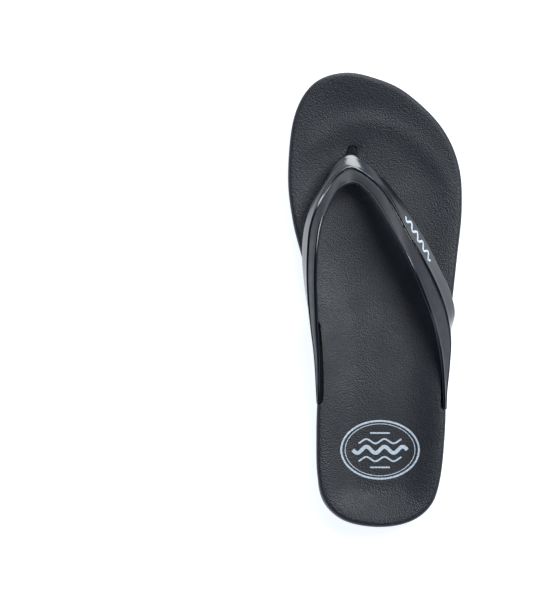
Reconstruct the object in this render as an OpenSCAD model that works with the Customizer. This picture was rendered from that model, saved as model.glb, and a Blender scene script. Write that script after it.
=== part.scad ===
// Flip flop for a right foot, standing on its sole.
// Z is up, Y runs from the heel to the toe, X runs from the big toe side to the little toe side.
// The origin is the middle of the outline, on the ground.

/* [Sole] */
// Length from the back of the heel to the tip of the toe
sole_length = 275; // [262:1:288]
// Thickness of the sole at the edge of the forefoot
forefoot_height = 17.5; // [17:0.5:20]
// Thickness of the sole at the edge of the heel
heel_height = 26; // [25:0.5:29]
// How far the tip of the toe is lifted off the ground
toe_lift = 7; // [5:0.5:8]
// Thickness of the footbed layer at its edge
footbed_edge = 7; // [6.5:0.5:8]
// How far the heel cup is dished below its edge
heel_dish = 4.5; // [3:0.5:5]
// Thickness of the outsole under the forefoot
outsole_height = 6; // [5:0.5:6.5]
// How far the outsole sits in from the edge of the footbed
outsole_inset = 1.8; // [1:0.1:2.5]
// How far the midsole sits in from the edge of the footbed
midsole_inset = 0.8; // [0.4:0.1:1]

/* [Tread] */
// Depth of the tread grooves
groove_depth = 1; // [0.6:0.1:1.4]
// Spacing of the fine ribs round the forefoot
rib_pitch = 2.6; // [2.4:0.1:3]
// Spacing of the ribs under the heel
heel_pitch = 3; // [2.6:0.1:3.6]
// Spacing of the broad ribs inside the forefoot loop
tongue_pitch = 5.4; // [5:0.1:6.4]

/* [Strap] */
// Thickness of the strap band
strap_thickness = 3.2; // [2.6:0.1:3.6]
// Radius of the toe post
post_r = 3; // [2.6:0.1:3.4]
// Width of a side peg, across the foot
peg_w = 3.4; // [3:0.1:3.6]
// Length of a side peg, along the foot
peg_l = 11; // [9:0.5:12]
// Play round the pegs and the toe post in their holes
play = 0.3; // [0.2:0.05:0.4]

/* [Plugs and shank] */
// Width of the oval plug that holds a side peg
plug_w = 12.8; // [12:0.2:13]
// Length of the oval plug that holds a side peg
plug_l = 21; // [19:0.5:21]
// Width of the oval plug that holds the toe post
toe_plug_w = 20; // [18:0.5:20]
// Length of the oval plug that holds the toe post
toe_plug_l = 15.5; // [14:0.5:16]
// Gap round each plug in its recess
plug_gap = 0.5; // [0.4:0.1:0.8]
// Width of the shank bar under the arch and heel
shank_w = 25.6; // [22:0.2:26]
// Width of the moat round the shank bar
moat = 3; // [2:0.2:3.4]

/* [Hidden] */

k = sole_length / 275;         // the plan view grows with the length
rubber = [0.17, 0.18, 0.20];   // moulded charcoal of the tread
foam = [0.23, 0.24, 0.27];     // satin charcoal of the sidewall
grain = [0.22, 0.23, 0.26];    // matt charcoal of the footbed
gloss = [0.13, 0.14, 0.16];    // glossy charcoal of the strap

// ---- curves ------------------------------------------------------------------------------------

// A point on the smooth curve from b to c, with a before them and d after them, at t from 0 to 1
function between(a, b, c, d, t) =
    0.5 * (2 * b + (c - a) * t + (2 * a - 5 * b + 4 * c - d) * t * t + (3 * b - a - 3 * c + d) * t * t * t);
// The open curve through the points p, in n steps from each to the next
function open_curve(p, n) =
    let (last = len(p) - 1)
    [for (i = [0 : last - 1], j = [0 : n - 1])
        between(p[max(i - 1, 0)], p[i], p[i + 1], p[min(i + 2, last)], j / n), p[last]];
// The closed curve through the points p
function closed_curve(p, n) =
    let (c = len(p))
    [for (i = [0 : c - 1], j = [0 : n - 1])
        between(p[(i + c - 1) % c], p[i], p[(i + 1) % c], p[(i + 2) % c], j / n)];
function unit(v) = v / norm(v);
// 0 below a, 1 above b, and a smooth rise between them
function rise(a, b, v) = let (t = max(0, min(1, (v - a) / (b - a)))) t * t * (3 - 2 * t);
// The points of a closed plan curve moved inwards by d. The curve runs anticlockwise.
function inset_points(p, d) =
    let (c = len(p))
    [for (i = [0 : c - 1])
        let (t = unit(p[(i + 1) % c] - p[(i + c - 1) % c])) p[i] + d * [-t[1], t[0]]];

// ---- the sole's plan and profile ---------------------------------------------------------------

inner_edge = [[-19, 137.5], [-38, 130.5], [-49.5, 110], [-53, 75], [-50, 47], [-43.5, 21],
              [-37.8, -10], [-35.2, -45], [-35.9, -80], [-35.2, -107]];
heel_edge = [[-30.3, -123.4], [-18, -133.9], [2, -137.5], [20.5, -134.4], [33, -125]];
outer_edge = [[39, -109], [42, -80], [43, -45], [45.8, -10], [49.4, 23], [52.6, 55],
              [50.6, 82], [40, 105], [20, 124.5], [2, 133.5]];
outline = closed_curve(k * concat(inner_edge, heel_edge, outer_edge), 4);

function toe_spring(y) = toe_lift * pow(max(0, (y / k - 70) / 67.5), 2);
function heel_part(y) = 1 - rise(-75, 35, y / k);
function rim(y) = forefoot_height + (heel_height - forefoot_height) * heel_part(y) + 0.8 * toe_spring(y);
function midsole_top(y) = rim(y) - footbed_edge;
function outsole_top(y) = outsole_height + 2 * heel_part(y) + 0.8 * toe_spring(y);
// The smooth bottom that the ribs end on, with a bevel at the back of the heel
function ground(y) = toe_spring(y) + 3 * pow(max(0, (-126 - y / k) / 12), 2);

stations = [for (y = [-144 : 8 : 144]) y * k];
// A slab across the whole width, from the profile low(y) to the profile high(y)
module slab(low, high) {
    rotate([90, 0, 90]) translate([0, 0, -80])
        linear_extrude(160)
            polygon(concat([for (y = stations) [y, low(y)]],
                           [for (i = [len(stations) - 1 : -1 : 0]) [stations[i], high(stations[i])]]));
}
module plan(inset) { linear_extrude(80) polygon(inset_points(outline, inset)); }

// ---- holes, pegs and plugs ---------------------------------------------------------------------

// Each side peg: the middle of its top in the strap's wing, and the middle of its plug
pegs = [[[-34.6, -31, 19.5], [-26, -31]], [[-33.3, -58, 21], [-25, -70]],
        [[42.6, -31, 19.5], [32, -31]], [[40.8, -59, 21], [30.5, -70]]];
// The toe post leans back from its plug to the band
post_foot = [-14, 95.8, 2.8];
post_head = [-14, 85.6, 27.8];
toe_plug_middle = [-14, 94];
plug_depth = 3;                // height of a plug
peg_reach = 1.4;               // the pegs end this far above the ground, inside their plugs

module oval(w, l) { polygon([for (a = [0 : 7.5 : 352.5]) [w / 2 * cos(a), l / 2 * sin(a)]]); }
// A flat peg with round ends, from its plug up to the wing
module peg(p, play) {
    foot = [p[1][0], p[1][1], peg_reach];
    lean = p[0] - foot;
    turn = atan2(lean[1], lean[0]);
    // it leans inwards on its way down, so that its plug lies well inside the edge of the sole
    intersection() {
        translate(foot)
            rotate([0, 0, turn]) rotate([0, atan2(norm([lean[0], lean[1]]), lean[2]), 0]) rotate([0, 0, -turn])
                translate([0, 0, -8]) linear_extrude(norm(lean) + 8) {
                    square([peg_w + 2 * play, peg_l - peg_w], center = true);
                    for (s = [-1, 1]) translate([0, s * (peg_l - peg_w) / 2])
                        circle(d = peg_w + 2 * play, $fn = 32);
                }
        // its end is cut level, inside the plug
        translate([-80, -150, peg_reach - play]) cube([160, 200, 60]);
    }
}
module post(play) {
    lean = post_head - post_foot;
    translate(post_foot) rotate([atan2(-lean[1], lean[2]), 0, 0])
        translate([0, 0, -play]) cylinder(r = post_r + play, h = norm(lean) + play, $fn = 48);
}
// Everything that passes through the sole, with play round it
module passages() {
    for (p = pegs) peg(p, play);
    post(play);
}
module recess(middle, w, l, low) {
    translate([middle[0], middle[1], low - 5])
        linear_extrude(plug_depth + 5.2) oval(w + 2 * plug_gap, l + 2 * plug_gap);
}
// A flush oval plug with a shallow ring round its middle, made hollow where its peg sits
module plug(middle, w, l, low) {
    difference() {
        translate([middle[0], middle[1], low]) difference() {
            linear_extrude(plug_depth) oval(w, l);
            translate([0, 0, -1]) linear_extrude(1.3) difference() {
                oval(w - 3, l - 3);
                oval(w - 4.6, l - 4.6);
            }
        }
        children();
    }
}

// ---- outsole -----------------------------------------------------------------------------------

// The loop under the forefoot: its inner edge, from the arch round the toe and back
loop = [[-11, -20], [-14, 11], [-21.5, 43], [-27.5, 71], [-27, 92], [-22, 107], [-10.5, 112.5],
        [4, 107.5], [17, 95], [25, 78], [28.5, 58], [26.5, 35], [22, 8], [18.5, -20]];
loop_points = open_curve(k * loop, 3);
function centre(p) = [for (i = [0, 1]) (max([for (q = p) q[i]]) + min([for (q = p) q[i]])) / 2];
module loop_area(grow) {
    c = centre(loop_points);
    far = concat(loop_points, [[18.5 * k, -22 * k], [-11 * k, -22 * k]]);
    linear_extrude(30, center = true)
        polygon([for (q = far) q + grow * unit(q - c)]);
}
// A groove across the whole sole at y, cut to the depth d and following the lifted toe
module groove(y, w, d) {
    slope = atan((ground(y + 1) - ground(y - 1)) / 2);
    translate([0, y, ground(y)]) rotate([slope, 0, 0]) translate([0, 0, -4 + d])
        cube([130, w, 8], center = true);
}
arch_front = -20 * k;
arch_back = -53.6 * k;
module fine_grooves() {
    for (y = [arch_front + 2 : rib_pitch : 134 * k]) groove(y, 1, groove_depth);
    for (y = [31, 58, 85, 112.6]) groove(y * k, 2.6, groove_depth * 0.7);
}
module tongue_grooves() {
    for (y = [arch_front + 2.5 : tongue_pitch : 110 * k], s = [-0.75, 0.75])
        groove(y + s, 0.7, groove_depth);
}
module heel_grooves() {
    for (y = [-133 * k : heel_pitch : arch_back - 2]) groove(y, 1, groove_depth);
}
// The hollow of the arch: level at the front, then deeper up to the front of the heel
module arch_hollow() {
    rotate([90, 0, 90]) translate([0, 0, -80]) linear_extrude(160)
        polygon(concat([[arch_back, -5], [arch_front, -5]],
                       [for (y = [-20, -30, -38, -42, -46, -50, -52.6]) [y * k, 0.6 + 3.6 * rise(-36, -52, y)]],
                       [[arch_back, 4.2]]));
}
shank_front = -36;             // where the shank bar comes out of the arch
shank_back = -94.5;            // centre of its round end
module shank_plan(grow) {
    translate([2.7 - shank_w / 2 - grow, shank_back * k])
        square([shank_w + 2 * grow, (shank_front - shank_back) * k]);
    translate([2.7, shank_back * k]) circle(r = shank_w / 2 + grow, $fn = 96);
}
module outsole() {
    color(rubber) difference() {
        intersection() { slab(function(y) ground(y), function(y) outsole_top(y)); plan(outsole_inset); }
        arch_hollow();
        difference() { fine_grooves(); loop_area(1.2 + 2.4); }
        intersection() { tongue_grooves(); loop_area(0); }
        heel_grooves();
        translate([0, 0, -10]) linear_extrude(14.2) shank_plan(moat);
        translate([0, 0, -10]) linear_extrude(16) shank_plan(0);
        for (p = pegs) recess(p[1], plug_w, plug_l, 0.2);
        recess(toe_plug_middle, toe_plug_w, toe_plug_l, toe_spring(toe_plug_middle[1]) + 0.3);
        passages();
    }
}

// ---- arch shank --------------------------------------------------------------------------------

module arch_shank() {
    color(rubber) difference() {
        intersection() {
            rotate([90, 0, 90]) translate([0, 0, -40]) linear_extrude(80)
                polygon([[-110 * k, 6], [-110 * k, 2.2], [-106.6 * k, 0.9], [-100 * k, 0.6],
                         [shank_front * k, 0.6], [shank_front * k, 6]]);
            linear_extrude(20) shank_plan(0);
        }
        // a shallow round mark near the heel end
        translate([2.7, -93.5 * k, 0]) difference() {
            cylinder(r = 8, h = 0.9, $fn = 96);
            translate([0, 0, -1]) cylinder(r = 7.2, h = 3, $fn = 96);
        }
    }
}

// ---- midsole -----------------------------------------------------------------------------------

module midsole() {
    color(foam) difference() {
        intersection() { slab(function(y) outsole_top(y), function(y) midsole_top(y)); plan(midsole_inset); }
        passages();
    }
}

// ---- footbed -----------------------------------------------------------------------------------

// Depth of the dish along the foot: deep in the heel, then shallow under the toes
function dish(y) = 2.2 + (heel_dish - 2.2) * heel_part(y) - 0.9 * rise(70, 100, y / k);
// The low ridge that the toes grip
function toe_ridge(x, y) = 0.9 * exp(-pow((y / k - 108 + pow((x / k + 6) / 34, 2) * 16) / 6, 2));
function to_line(p, a, b) =
    let (t = max(0, min(1, (p - a) * (b - a) / ((b - a) * (b - a))))) norm(p - a - t * (b - a));
function to_edge(p) = let (c = len(outline)) min([for (i = [0 : c - 1]) to_line(p, outline[i], outline[(i + 1) % c])]);
// The height of the footbed at p, which lies d inside its edge
function footbed_top(p, d) =
    let (round_r = 2.4, e = max(0, round_r - d))
    rim(p[1]) - (round_r - sqrt(max(0, round_r * round_r - e * e)))
    - dish(p[1]) * rise(1.5, 24, d) + toe_ridge(p[0], p[1]) * rise(3, 14, d);

across = [0, 0.025, 0.07, 0.18, 0.36, 0.6, 1];        // from the edge to the middle line
rows = len(outline) / 2 - 1;
function left_point(i) = outline[i + 1];
function right_point(i) = outline[len(outline) - 1 - i];
// The grid of points over the footbed: rows from the toe to the heel, columns from side to side
function row_points(i) =
    let (l = left_point(i), r = right_point(i), m = (l + r) / 2,
         cols = concat([for (f = across) l + (m - l) * f],
                       [for (j = [len(across) - 2 : -1 : 0]) r + (m - r) * across[j]]))
    [for (j = [0 : len(cols) - 1])
        let (d = (j == 0 || j == len(cols) - 1) ? 0 : to_edge(cols[j]))
        [cols[j][0], cols[j][1], footbed_top(cols[j], d)]];
module dished_blank() {
    n = 2 * len(across) - 1;
    tip = outline[0];
    tail = outline[rows + 1];
    top = concat([for (i = [0 : rows - 1]) each row_points(i)],
                 [[tip[0], tip[1], footbed_top(tip, 0)], [tail[0], tail[1], footbed_top(tail, 0)]]);
    base = [for (q = outline) [q[0], q[1], 4]];
    nt = len(top);
    ring = concat([nt - 2], [for (i = [0 : rows - 1]) i * n], [nt - 1],
                  [for (i = [rows - 1 : -1 : 0]) i * n + n - 1]);
    c = len(ring);
    polyhedron(concat(top, base),
        concat([for (i = [0 : rows - 2], j = [0 : n - 2]) each
                   [[i * n + j, i * n + j + 1, (i + 1) * n + j + 1], [i * n + j, (i + 1) * n + j + 1, (i + 1) * n + j]]],
               [for (j = [0 : n - 2]) [nt - 2, j + 1, j]],
               [for (j = [0 : n - 2]) [nt - 1, (rows - 1) * n + j, (rows - 1) * n + j + 1]],
               [for (i = [0 : c - 1]) [ring[i], nt + i, nt + (i + 1) % c, ring[(i + 1) % c]]],
               [[for (i = [c - 1 : -1 : 0]) nt + i]]));
}
// A notch along the edge, from y0 to y1 on the side given by s, where the wing of the strap sits
module wing_notch(s, y0, y1) {
    edge = [for (q = outline) if (q[0] * s > 0 && q[1] > (y0 - 12) * k && q[1] < (y1 + 12) * k) q];
    n = len(edge);
    linear_extrude(60) intersection() {
        polygon(concat([for (q = edge) q + [s * 3, 0]],
                       [for (i = [n - 1 : -1 : 0]) edge[i] - [s * (strap_thickness + 1.2), 0]]));
        translate([-100, y0 * k]) square([200, (y1 - y0) * k]);
    }
}
module footbed() {
    color(grain) difference() {
        dished_blank();
        slab(function(y) -20, function(y) midsole_top(y));
        wing_notch(-1, -65.6, -12);
        wing_notch(1, -68.8, -15.5);
        passages();
        // the soft dent round the toe post
        translate([post_foot[0], 91, rim(91) - 3.4])
            cylinder(r1 = post_r + play, r2 = post_r + 2, h = 3.4, $fn = 48);
    }
}

// ---- strap -------------------------------------------------------------------------------------

// Each row is a place along the band, from the inner wing over the toe post to the outer wing:
// a point on its front edge, one on the crease along its middle, and one on its rear edge.
band = [[[-34.9, -64, 19.4], [-35.2, -63.2, 22.6], [-34.9, -62.6, 25.4]],
        [[-35, -55, 19], [-35.7, -55.3, 24.2], [-35.2, -55.5, 28]],
        [[-35.4, -42, 18.2], [-36.4, -43, 27], [-35.5, -44, 34]],
        [[-36.2, -30, 16.9], [-37.4, -31, 29], [-36, -32, 39]],
        [[-37.6, -18, 17], [-39, -18.5, 32], [-36.9, -19.5, 43.5]],
        [[-41.5, -3, 24.5], [-40.6, -3, 37], [-37.4, -4, 48.5]],
        [[-43.8, 12, 28], [-41.4, 12, 40.5], [-37.7, 11, 51.5]],
        [[-44.9, 28, 30.5], [-41.2, 28, 43], [-37.2, 26, 53.5]],
        [[-43.4, 44, 32], [-39.7, 43.2, 43.5], [-35.3, 41, 52]],
        [[-38.4, 60, 32.5], [-35.2, 56.6, 43], [-31.6, 52, 48.5]],
        [[-30, 75.2, 31.5], [-27.2, 70.2, 40], [-25, 63.8, 43]],
        [[-23, 84.1, 29.5], [-20, 77.5, 37], [-20, 68, 39]],
        [[-15.4, 88.1, 29], [-14.4, 79, 35.5], [-14.6, 69.8, 37.5]],
        [[-6.6, 83.6, 31], [-6, 74.9, 37.5], [-9, 68, 39]],
        [[5, 73, 34], [4, 65.6, 42.5], [-1.6, 59.4, 43.5]],
        [[14.6, 60.8, 36], [12, 52.8, 46], [6.6, 46.2, 48.5]],
        [[24, 46.6, 36.5], [19.6, 38.7, 47.5], [15.2, 31.8, 52]],
        [[32, 32.8, 35], [27.2, 25.4, 46.5], [20.8, 20.9, 53.5]],
        [[39.3, 18, 32], [33.2, 14.2, 43], [26.5, 8.2, 52.5]],
        [[45.2, 5, 29], [38.6, 2.1, 39.5], [31.6, -4.5, 49.5]],
        [[48.3, -8, 24.5], [42.5, -10, 34.5], [35.9, -17, 44.5]],
        [[45.6, -22, 16.8], [45, -24, 30.5], [38.9, -29, 39.5]],
        [[43.6, -38, 17.8], [44.4, -40, 27.5], [40.9, -42, 33.5]],
        [[42.6, -54, 18.9], [42.9, -56, 24.5], [42, -56.5, 28]],
        [[42.2, -67, 19.4], [42.6, -66.6, 22.6], [42.2, -66.2, 25.4]]];
front = open_curve([for (b = band) b[0]], 3);
crease = open_curve([for (b = band) b[1]], 3);
rear = open_curve([for (b = band) b[2]], 3);
// The cross-section at one place: the outer face has a step along the crease, the edges are rounded
function section(i) =
    let (a = front[i], c = crease[i], b = rear[i], last = len(front) - 1,
         along = crease[min(i + 1, last)] - crease[max(i - 1, 0)],
         w = unit(b - a), out = unit(cross(w, unit(along))), t = strap_thickness,
         mf = (a + c) / 2, mr = (c + b) / 2)
    [a - out * t / 2, a + w * 0.9, mf + out * 0.5, c + out * 0.3, c + w * 0.9 - out * 0.4, mr + out * 0.1,
     b - w * 0.9, b - out * t / 2, b - w * 0.9 - out * t, mr - out * (t - 0.2), mf - out * (t - 0.3),
     a + w * 0.9 - out * t];
module band_blank() {
    n = 12;
    last = len(front) - 1;
    polyhedron([for (i = [0 : last]) each section(i)],
        concat([for (i = [0 : last - 1], j = [0 : n - 1])
                   let (j2 = (j + 1) % n) each
                   [[i * n + j, (i + 1) * n + j2, i * n + j2], [i * n + j, (i + 1) * n + j, (i + 1) * n + j2]]],
               [for (j = [1 : n - 2]) [0, j, j + 1]],
               [for (j = [1 : n - 2]) [last * n, last * n + j + 1, last * n + j]]));
}
module strap() {
    color(gloss) {
        scale(k) band_blank();
        for (p = pegs) peg(p, 0);
        post(0);
    }
}

// ---- plugs -------------------------------------------------------------------------------------

module toe_plug() {
    color(rubber) plug(toe_plug_middle, toe_plug_w, toe_plug_l, toe_spring(toe_plug_middle[1]) + 0.3)
        post(0);
}
module side_plug(p) { color(rubber) plug(p[1], plug_w, plug_l, 0.2) peg(p, 0); }
module front_medial_plug() { side_plug(pegs[0]); }
module rear_medial_plug() { side_plug(pegs[1]); }
module front_lateral_plug() { side_plug(pegs[2]); }
module rear_lateral_plug() { side_plug(pegs[3]); }

outsole();
midsole();
footbed();
arch_shank();
strap();
toe_plug();
front_medial_plug();
rear_medial_plug();
front_lateral_plug();
rear_lateral_plug();
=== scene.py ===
# %% [markdown]
# # A flip flop, from a plain model to a finished picture
# This notebook dresses a right-foot flip flop. A plain model of it is already there: it says where every
# part sits and how big it is. Here each visible part gets a finer mesh in the same place, and a material
# worked out from what the real one is made of.
# The frame is in metres. Z is up, Y runs from heel to toe, and X runs from the big toe side to the little
# toe side. The lists below are in millimetres, because that is how a shoe is measured.

import bmesh
import bpy
import numpy as np
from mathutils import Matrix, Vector


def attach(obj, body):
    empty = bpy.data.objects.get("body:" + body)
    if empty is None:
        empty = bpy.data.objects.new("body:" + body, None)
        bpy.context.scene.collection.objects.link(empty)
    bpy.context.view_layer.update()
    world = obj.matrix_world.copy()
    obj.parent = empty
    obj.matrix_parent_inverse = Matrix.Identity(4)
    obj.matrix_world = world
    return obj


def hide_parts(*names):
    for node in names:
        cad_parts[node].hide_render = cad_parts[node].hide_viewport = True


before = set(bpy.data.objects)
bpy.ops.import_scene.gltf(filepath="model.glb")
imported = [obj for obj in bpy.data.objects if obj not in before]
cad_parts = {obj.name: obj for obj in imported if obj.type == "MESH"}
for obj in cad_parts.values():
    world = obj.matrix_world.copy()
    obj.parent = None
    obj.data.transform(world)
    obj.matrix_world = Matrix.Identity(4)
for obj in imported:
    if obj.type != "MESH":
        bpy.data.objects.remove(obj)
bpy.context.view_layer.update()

MM = 0.001

# %% [markdown]
# ## The camera
# The sandal is looked at from straight above, toe up, so the camera hangs 2.5 m over it and looks down.
# At that distance a long lens shows very little perspective, as in a catalogue. The camera isn't over the
# middle of the sandal: the sandal lies in the right half of a wide sheet, and the camera is over the sheet.

# %% Hang the camera
CAMERA_HEIGHT = 2.5
SHEET_MIDDLE = (-62.7 * MM, -3.0 * MM)
VIEW_HEIGHT = 369 * MM
SENSOR = 24.0

camera_data = bpy.data.cameras.new("camera")
camera_data.sensor_width = SENSOR
camera_data.lens = SENSOR * (CAMERA_HEIGHT - 20 * MM) / VIEW_HEIGHT
camera_data.clip_end = 20
camera = bpy.data.objects.new("camera", camera_data)
camera.location = (*SHEET_MIDDLE, CAMERA_HEIGHT)
bpy.context.scene.collection.objects.link(camera)
bpy.context.scene.camera = camera
print("lens:", round(camera_data.lens), "mm")

# %% [markdown]
# ## The outline of the sole
# A last maker draws a sole from a few points: the tip of the toe, the ball, the waist and the heel. A smooth
# curve through them gives the rest. The curve here passes through every point, which makes the points easy
# to move. The first point is the toe, the list then runs down the inner side and up the outer side.

# %% Draw the outline
INNER_EDGE = [(-19, 137.5), (-38, 130.5), (-49.5, 110), (-53, 75), (-50, 47), (-43.5, 21), (-37.8, -10),
              (-35.2, -45), (-35.9, -80), (-35.2, -107)]
HEEL_EDGE = [(-30.3, -123.4), (-18, -133.9), (2, -137.5), (20.5, -134.4), (33, -125)]
OUTER_EDGE = [(39, -109), (42, -80), (43, -45), (45.8, -10), (49.4, 23), (52.6, 55), (50.6, 82),
              (40, 105), (20, 124.5), (2, 133.5)]


def smooth_curve(points, steps, closed=False):
    """Points on a smooth curve through the given ones, with so many steps from each to the next."""
    p = np.array(points, float)
    t = (np.arange(steps) / steps)[None, :, None]
    if closed:
        a, b, c, d = np.roll(p, 1, 0), p, np.roll(p, -1, 0), np.roll(p, -2, 0)
    else:
        padded = np.vstack([p[:1], p, p[-1:]])
        a, b, c, d = padded[:-3], padded[1:-2], padded[2:-1], padded[3:]
    a, b, c, d = (q[:, None, :] for q in (a, b, c, d))
    curve = 0.5 * (2 * b + (c - a) * t + (2 * a - 5 * b + 4 * c - d) * t**2 + (3 * b - a - 3 * c + d) * t**3)
    curve = curve.reshape(-1, p.shape[1])
    return curve if closed else np.vstack([curve, p[-1:]])


def moved_in(loop, distance):
    """The closed plan loop with every point moved inwards."""
    along = np.roll(loop, -1, 0) - np.roll(loop, 1, 0)
    along /= np.linalg.norm(along, axis=1)[:, None]
    return loop + distance * np.column_stack([-along[:, 1], along[:, 0]])


outline = smooth_curve(INNER_EDGE + HEEL_EDGE + OUTER_EDGE, 12, closed=True)
HALF = len(outline) // 2  # the point opposite the first one, at the heel
print("outline:", len(outline), "points,", np.ptp(outline, axis=0).round(1), "mm")

# %% [markdown]
# ## The side profile
# Seen from the side the sole is thick under the heel, thin under the ball of the foot, and its toe is lifted
# off the ground so that it doesn't catch in a step. Three layers are stacked: tread, foam and footbed.

# %% Heights along the sole
FOREFOOT_HEIGHT = 17.5
HEEL_HEIGHT = 26.0
TOE_LIFT = 7.0
FOOTBED_EDGE = 7.0
HEEL_DISH = 4.5
OUTSOLE_HEIGHT = 6.0
ARCH_FRONT = -20.0
ARCH_BACK = -53.6


def rise(low, high, value):
    """0 at low and before it, 1 at high and past it, and a smooth rise between them."""
    t = np.clip((value - low) / (high - low), 0, 1)
    return t * t * (3 - 2 * t)


def toe_spring(y):
    return TOE_LIFT * (np.maximum(0, y - 70) / 67.5) ** 2


def heel_part(y):
    return 1 - rise(-75, 35, y)


def rim(y):
    return FOREFOOT_HEIGHT + (HEEL_HEIGHT - FOREFOOT_HEIGHT) * heel_part(y) + 0.8 * toe_spring(y)


def footbed_base(y):
    return rim(y) - FOOTBED_EDGE


def outsole_top(y):
    return OUTSOLE_HEIGHT + 2 * heel_part(y) + 0.8 * toe_spring(y)


def ground(y):
    return toe_spring(y) + 3 * (np.maximum(0, -126 - y) / 12) ** 2


print("edge height at toe, ball and heel:", [round(float(rim(y)), 1) for y in (137, 60, -100)], "mm")

# %% [markdown]
# ## Making a closed piece
# Most parts are stacks of rings: every ring has the same number of points, and each is joined to the next.
# A ring runs down one side of the foot and back up the other, so its ends close with strips from side to
# side. Strips stay smooth where one big polygon would fold.

# %% Ring helpers
def wall(first, second, count):
    """Faces between two rings of count points that start at the given indices."""
    return [(first + i, first + (i + 1) % count, second + (i + 1) % count, second + i) for i in range(count)]


def cap(start, count):
    """Strips from side to side that close a ring."""
    faces = []
    for i in range(count // 2):
        strip = [start + i, start + i + 1, start + (count - i - 1) % count, start + (count - i) % count]
        faces.append(tuple(dict.fromkeys(strip)))
    return faces


def grid_faces(rows, columns, start=0):
    """Faces of a grid of rows and columns."""
    return [(start + i * columns + j, start + i * columns + j + 1,
             start + (i + 1) * columns + j + 1, start + (i + 1) * columns + j)
            for i in range(rows - 1) for j in range(columns - 1)]


def stack(rings):
    """The points and faces of a stack of rings, closed at both ends."""
    count = len(rings[0])
    faces = cap(0, count) + cap((len(rings) - 1) * count, count)
    for r in range(len(rings) - 1):
        faces += wall(r * count, (r + 1) * count, count)
    return np.vstack(rings), faces


def at_height(loop, z):
    """A plan loop lifted to a height, or to one height for each point."""
    return np.column_stack([loop, np.broadcast_to(z, len(loop))])

# %% [markdown]
# Three more helpers turn points into a smooth piece, cut or join pieces, and hang the result on the model.
# Cutting is done with Blender's exact Boolean, and the result is kept as the piece's own mesh, so that
# nothing is left to work out later.

# %% Piece helpers
def clean(mesh, sharp_angle):
    """Welds doubled points, turns faces outwards and shades smooth between sharp edges."""
    work = bmesh.new()
    work.from_mesh(mesh)
    bmesh.ops.remove_doubles(work, verts=work.verts, dist=0.004 * MM)
    bmesh.ops.dissolve_degenerate(work, dist=0.002 * MM, edges=work.edges)
    bmesh.ops.recalc_face_normals(work, faces=work.faces)
    work.to_mesh(mesh)
    work.free()
    mesh.shade_smooth()
    mesh.set_sharp_from_angle(angle=np.radians(sharp_angle))


def make_piece(name, points, faces, sharp_angle=40):
    """A closed mesh object from points in millimetres."""
    mesh = bpy.data.meshes.new(name)
    mesh.from_pydata((np.asarray(points, float) * MM).tolist(), [], [tuple(int(v) for v in f) for f in faces])
    piece = bpy.data.objects.new(name, mesh)
    bpy.context.scene.collection.objects.link(piece)
    clean(mesh, sharp_angle)
    return piece


def combine(piece, other, operation, sharp_angle=40):
    """Cuts the other object from the piece, or joins it on, and removes the other object."""
    modifier = piece.modifiers.new("combine", "BOOLEAN")
    modifier.operation = operation
    modifier.solver = "EXACT"
    modifier.object = other
    shaped = piece.evaluated_get(bpy.context.evaluated_depsgraph_get())
    result = bpy.data.meshes.new_from_object(shaped)
    piece.modifiers.clear()
    piece.data = result
    bpy.data.objects.remove(other)
    clean(result, sharp_angle)


def dress(piece, slot, material, *nodes):
    """Gives the piece its material, hangs it on the model and lets it stand for plain nodes."""
    if material:
        piece.data.materials.append(material)
    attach(piece, "root")
    if nodes:
        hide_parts(*nodes)
    print(piece.name, len(piece.data.polygons), "faces")

# %% [markdown]
# ## Where a black surface gets its look
# Every part of this sandal is charcoal plastic, and the parts differ only in how their moulds were finished.
# A dark surface shows its finish more than its colour: about 4% of the light comes back off the face of a
# plastic of index 1.5, and the roughness of the mould decides how widely that light is spread.
# Colours are written as sRGB hex, as a paint chart gives them, and one function turns them to linear light.

# %% Colour and node helpers
PLASTIC_IOR = 1.5


def linear(hex_colour):
    """Linear light from a colour written as sRGB hex."""
    srgb = [int(hex_colour[i : i + 2], 16) / 255 for i in (1, 3, 5)]
    return (*[c / 12.92 if c <= 0.04045 else ((c + 0.055) / 1.055) ** 2.4 for c in srgb], 1.0)


def add_node(tree, kind, settings=None, links=None):
    """Adds a node, sets its properties and sockets, and links its inputs to other nodes' outputs."""
    node = tree.nodes.new(kind)
    for key, value in (settings or {}).items():
        if isinstance(key, str) and hasattr(node, key):
            setattr(node, key, value)
        else:
            node.inputs[key].default_value = value
    for key, socket in (links or {}).items():
        tree.links.new(socket, node.inputs[key])
    return node


def start_plastic(name, roughness):
    """A plastic with one shader: its material, node tree, shader and object coordinates."""
    material = bpy.data.materials.new(name)
    material.use_nodes = True
    tree = material.node_tree
    tree.nodes.clear()
    shader = add_node(tree, "ShaderNodeBsdfPrincipled", {"Roughness": roughness, "IOR": PLASTIC_IOR})
    add_node(tree, "ShaderNodeOutputMaterial", links={"Surface": shader.outputs[0]})
    place = add_node(tree, "ShaderNodeTexCoord").outputs["Object"]
    return material, tree, shader, place


def spread(tree, socket, low, high, to_low, to_high):
    """The socket's values from low to high, stretched to other limits."""
    settings = {"From Min": low, "From Max": high, "To Min": to_low, "To Max": to_high}
    return add_node(tree, "ShaderNodeMapRange", settings, {"Value": socket}).outputs[0]

# %% [markdown]
# ## The footbed's finish, with painted shade in its grain
# The footbed is foamed EVA pressed against an etched mould plate, which gives it a leather grain: rounded
# pebbles a little under a millimetre across, with narrow valleys between them. The valleys hold shadow and
# the pebbles' tops catch a soft shine, and the colour paints both in too: darker in the valleys as painted
# shade, lighter on the tops as a painted sheen. The cells of a Voronoi pattern have just that shape, and
# bending the pattern with a noise keeps them from looking like tiles. The relief is drawn deeper than the
# real tenth of a millimetre, so that it shows.

# %% Grained EVA, with painted shade in the grain's valleys
GRAIN_SIZE = 0.85


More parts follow.
